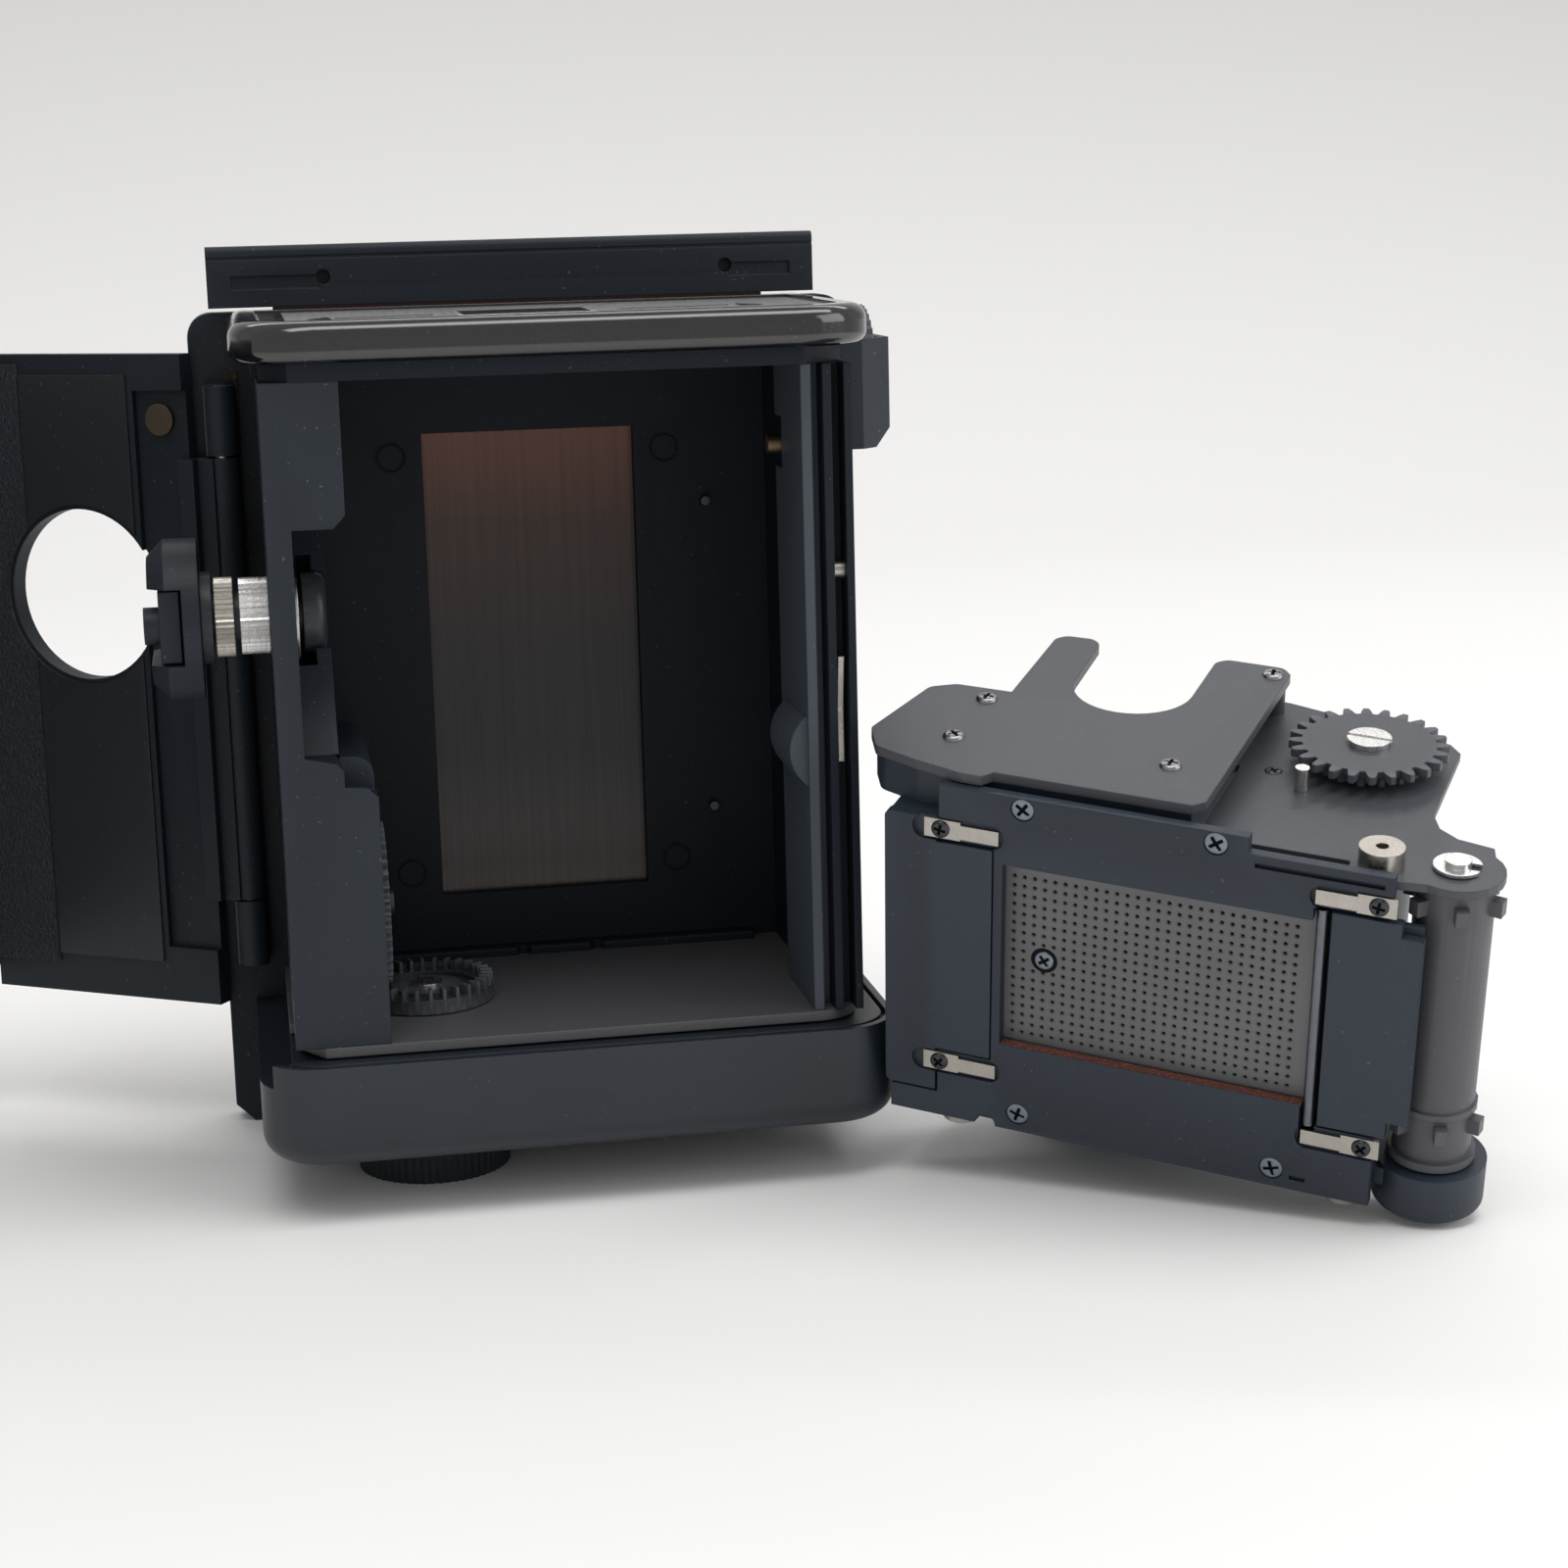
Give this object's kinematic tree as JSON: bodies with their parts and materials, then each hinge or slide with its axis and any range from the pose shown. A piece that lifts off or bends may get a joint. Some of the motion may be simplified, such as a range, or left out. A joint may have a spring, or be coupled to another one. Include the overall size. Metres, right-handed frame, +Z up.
{
  "type": "camera film magazine",
  "caption": "Roll film camera magazine standing on its side with hinged rear door open, dark slide fitted, and its film insert lifted out beside it.",
  "frame": {"origin": "on the table, at the middle of the flange's standing face, under the centre line of the aperture", "axes": "+Z up from the table, +Y from the open rear towards the lens side, +X to the right seen from the rear"},
  "size_m": [0.2186, 0.1058, 0.1129],
  "materials": {
    "moulded_black": "fine matt moulding",
    "moulded_grey": "matt dark grey moulding",
    "gloss_black": "gloss",
    "leatherette": "pebbled grain",
    "satin_plate": "satin black",
    "insert_black": "fine matt black with a blue cast",
    "insert_grey": "matt grey-black",
    "slide_sheet": "brushed brown-grey",
    "bright_steel": "turned, satin",
    "nickel": "nickel plate",
    "brass": "dull",
    "black_screw": "blackened steel",
    "velvet": "black velvet and foam",
    "worn_strip": "worn brown-black seal",
    "red_strip": "faded red",
    "gear_black": "moulded"
  },
  "bodies": {
    "magazine": {"mount_plate": "moulded_black", "front_wall": "moulded_black", "left_wall": "moulded_black", "right_wall": "moulded_black", "gear_cover": "moulded_grey", "right_liner": "moulded_grey", "floor_plate": "satin_plate", "top_inner_plate": "satin_plate", "base_cap": "moulded_grey", "top_cap": "gloss_black", "top_panel": "leatherette", "dial_block": "moulded_grey", "hinge_pin": "bright_steel", "hinge_seal": "worn_strip", "wall_pins": "bright_steel", "latch_pin": "nickel", "leaf_spring": "nickel", "stop_shaft": "brass", "mount_screws": "black_screw", "rewind_bush": "bright_steel", "rewind_washer": "bright_steel"},
    "dark_slide": {"dark_slide_sheet": "slide_sheet", "dark_slide_handle": "moulded_black"},
    "film_speed_dial": {"speed_dial": "gear_black"},
    "winding_knob": {"base_knob": "moulded_black", "knob_shaft": "bright_steel", "crown_gear": "gear_black"},
    "drive_gear": {"drive_gear": "gear_black"},
    "rewind_slider": {"rewind_collar": "nickel"},
    "rewind_spindle": {"rewind_shaft": "bright_steel", "rewind_knob": "moulded_grey"},
    "rewind_crank": {"crank_arm": "moulded_grey"},
    "door": {"door_shell": "moulded_black", "door_liner": "satin_plate", "door_velvet": "velvet", "door_cushion": "velvet", "door_rivet": "brass"},
    "door_latch": {"door_latch": "moulded_black"},
    "insert": {"gate_plate": "insert_black", "left_plate": "insert_black", "right_plate": "insert_black", "window_strip": "red_strip", "film_clips": "nickel", "insert_screws": "black_screw", "insert_frame": "insert_black", "bottom_plate": "insert_black", "cassette_cup": "insert_black", "top_cover": "insert_grey", "top_block": "insert_black", "gear_plate": "insert_grey", "stop_pin": "bright_steel", "locating_bushes": "nickel"},
    "pressure_plate": {"pressure_plate": "insert_grey"},
    "take_up": {"take_up_spool": "gear_black", "take_up_gear": "gear_black", "gear_screw": "bright_steel"},
    "sprocket": {"sprocket_drum": "gear_black", "drum_shaft": "bright_steel"},
    "guide_roller": {"guide_roller": "black_screw"},
    "turn_roller": {"turn_roller": "gear_black"}
  },
  "joints": [
    {"name": "door_hinge", "type": "hinge", "parent": "magazine", "child": "door", "pos_m": [-0.0382, -0.005, 0.059], "axis": [0, 0, 1], "range_deg": [0, 123]},
    {"name": "door_latch_slide", "type": "slide", "parent": "door", "child": "door_latch", "axis": [0, 0, 1], "range_m": [0, 0.0036]},
    {"name": "dark_slide_pull", "type": "slide", "parent": "magazine", "child": "dark_slide", "axis": [0, 0, 1], "range_m": [0, 0.081]},
    {"name": "film_speed_turn", "type": "hinge", "parent": "magazine", "child": "film_speed_dial", "pos_m": [0.0398, -0.017, 0.0963], "axis": [1, 0, 0], "range_deg": [-150, 150]},
    {"name": "winding_knob_turn", "type": "hinge", "parent": "magazine", "child": "winding_knob", "pos_m": [-0.0174, -0.0247, 0.01], "axis": [0, 0, 1], "continuous": true},
    {"name": "drive_gear_turn", "type": "hinge", "parent": "magazine", "child": "drive_gear", "pos_m": [-0.024, -0.0247, 0.03355], "axis": [1, 0, 0], "continuous": true},
    {"name": "rewind_pull", "type": "slide", "parent": "magazine", "child": "rewind_slider", "axis": [-1, 0, 0], "range_m": [0, 0.0036]},
    {"name": "rewind_turn", "type": "hinge", "parent": "rewind_slider", "child": "rewind_spindle", "pos_m": [-0.04, -0.0247, 0.0698], "axis": [-1, 0, 0], "continuous": true},
    {"name": "crank_fold", "type": "hinge", "parent": "rewind_spindle", "child": "rewind_crank", "pos_m": [-0.0454, -0.0181, 0.0698], "axis": [0, 0, -1], "range_deg": [0, 120]},
    {"name": "insert_lift", "type": "slide", "parent": "magazine", "child": "insert", "axis": [0, 0, 1], "range_m": [0, 0.11]},
    {"name": "pressure_plate_give", "type": "slide", "parent": "insert", "child": "pressure_plate", "axis": [0.5544, 0.7962, 0.2421], "range_m": [0, 0.0008], "stiffness_N_per_m": 300, "springref_m": -0.001},
    {"name": "take_up_turn", "type": "hinge", "parent": "insert", "child": "take_up", "pos_m": [0.0922, -0.05469, 0.03279], "axis": [-0.0447, -0.262, 0.964], "continuous": true},
    {"name": "sprocket_turn", "type": "hinge", "parent": "insert", "child": "sprocket", "pos_m": [0.0925, -0.08017, 0.02587], "axis": [-0.0447, -0.262, 0.964], "continuous": true},
    {"name": "guide_roller_turn", "type": "hinge", "parent": "insert", "child": "guide_roller", "pos_m": [0.07814, -0.07818, 0.02575], "axis": [-0.0447, -0.262, 0.964], "continuous": true},
    {"name": "turn_roller_turn", "type": "hinge", "parent": "insert", "child": "turn_roller", "pos_m": [0.042, -0.0482, 0.03222], "axis": [-0.0447, -0.262, 0.964], "continuous": true}
  ],
  "couplings": [
    {"joint": "drive_gear_turn", "follows": "winding_knob_turn", "ratio": -0.78947},
    {"joint": "sprocket_turn", "follows": "take_up_turn", "ratio": 1.107}
  ]
}
